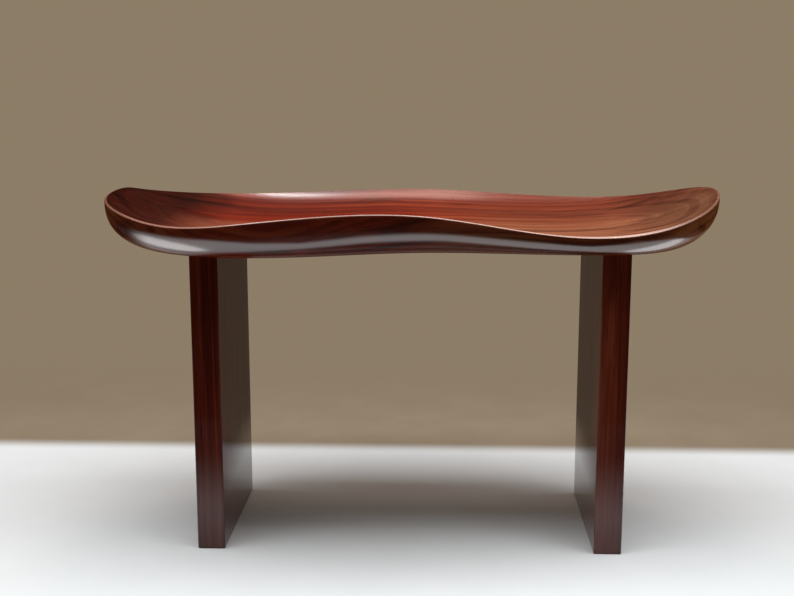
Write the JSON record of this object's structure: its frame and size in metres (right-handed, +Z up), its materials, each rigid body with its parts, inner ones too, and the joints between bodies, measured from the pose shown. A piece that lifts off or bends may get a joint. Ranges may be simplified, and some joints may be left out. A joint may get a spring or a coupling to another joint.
{
  "type": "dished-seat wooden stool",
  "caption": "Low wooden stool with a long hollowed, wave-rimmed seat carried on upright slab legs.",
  "frame": {"origin": "on the floor under the middle of the seat", "axes": "+X along the seat to the viewer's right, +Y from the front edge to the back, +Z up"},
  "size_m": [0.8019, 0.3741, 0.4671],
  "materials": {
    "seat_wood": "gloss lacquer",
    "leg_wood": "satin lacquer",
    "tenon_wood": "bare"
  },
  "bodies": {
    "root": {"seat": "seat_wood", "left_leg": "leg_wood", "right_leg": "leg_wood", "left_tenon_front": "tenon_wood", "left_tenon_middle": "tenon_wood", "left_tenon_back": "tenon_wood", "right_tenon_front": "tenon_wood", "right_tenon_middle": "tenon_wood", "right_tenon_back": "tenon_wood"}
  },
  "joints": []
}
